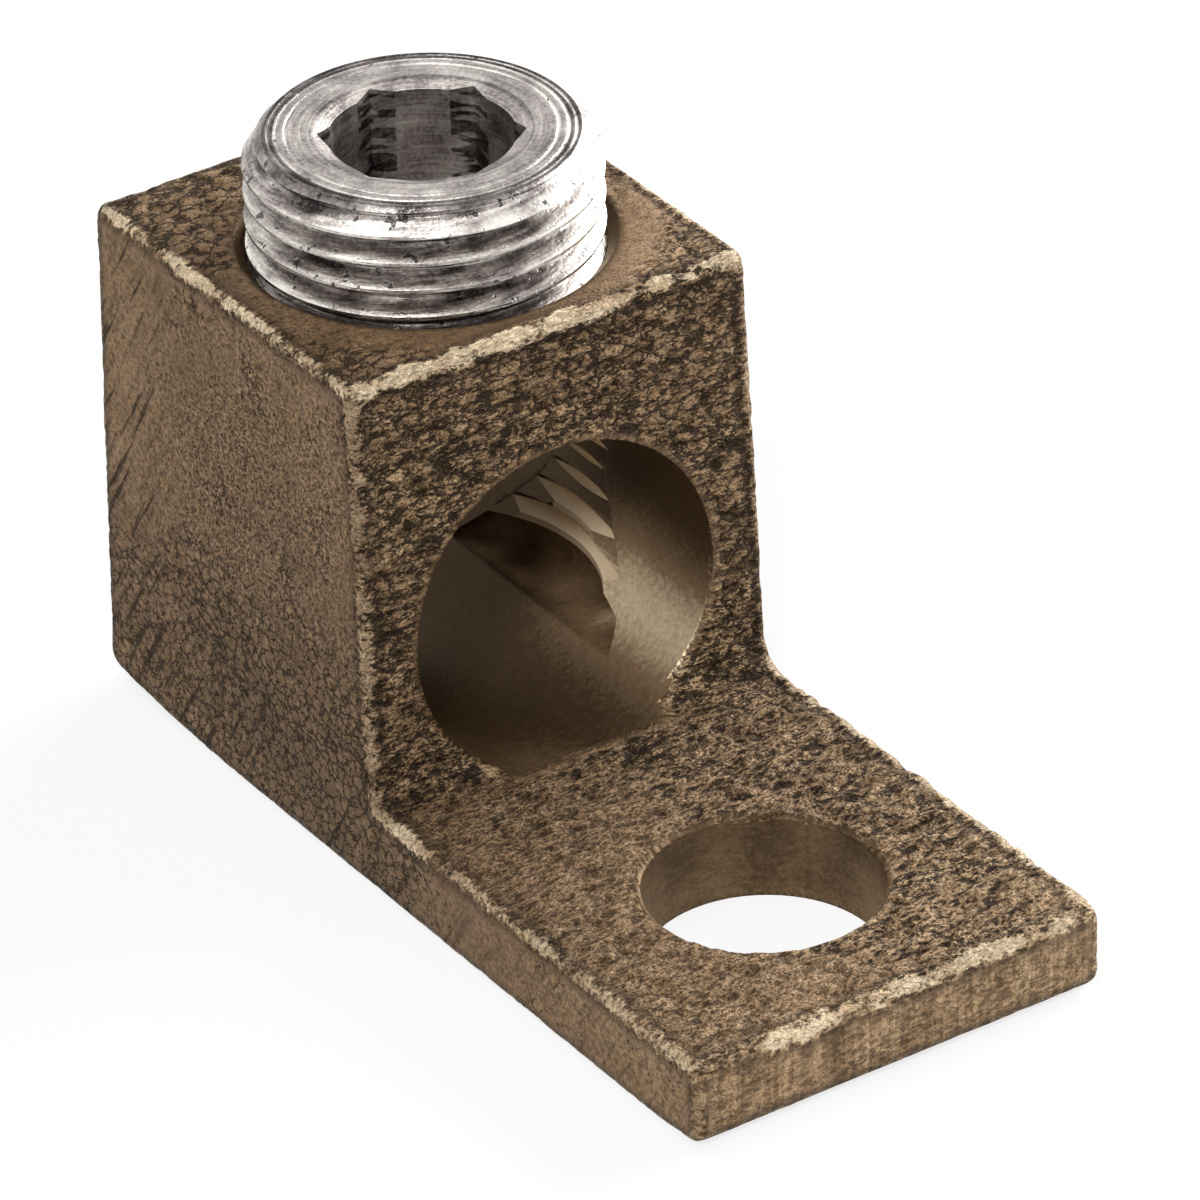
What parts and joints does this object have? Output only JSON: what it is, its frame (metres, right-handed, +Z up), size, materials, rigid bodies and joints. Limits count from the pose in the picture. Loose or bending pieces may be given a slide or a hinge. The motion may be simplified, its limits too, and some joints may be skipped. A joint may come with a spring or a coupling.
{
  "type": "mechanical cable lug",
  "caption": "Cast copper alloy cable lug with a flat tongue and stud hole, a through bore for the conductor and a hex socket set screw that clamps it from above.",
  "frame": {"origin": "centre of the stud hole on the tongue's underside", "axes": "+Y from the tongue towards the block along the conductor, +Z up along the set screw, +X across the width"},
  "size_m": [0.0254, 0.0565, 0.036],
  "materials": {
    "cast_bronze": "rough sand cast, aged brown, worn bright on the edges",
    "plated_steel": "turned and threaded, plated, worn"
  },
  "bodies": {
    "lug": {"lug_body": "cast_bronze"},
    "screw": {"set_screw": "plated_steel"}
  },
  "joints": [
    {"name": "screw_travel", "type": "slide", "parent": "lug", "child": "screw", "axis": [0, 0, 1], "range_m": [-0.00953, 0.00476]}
  ]
}
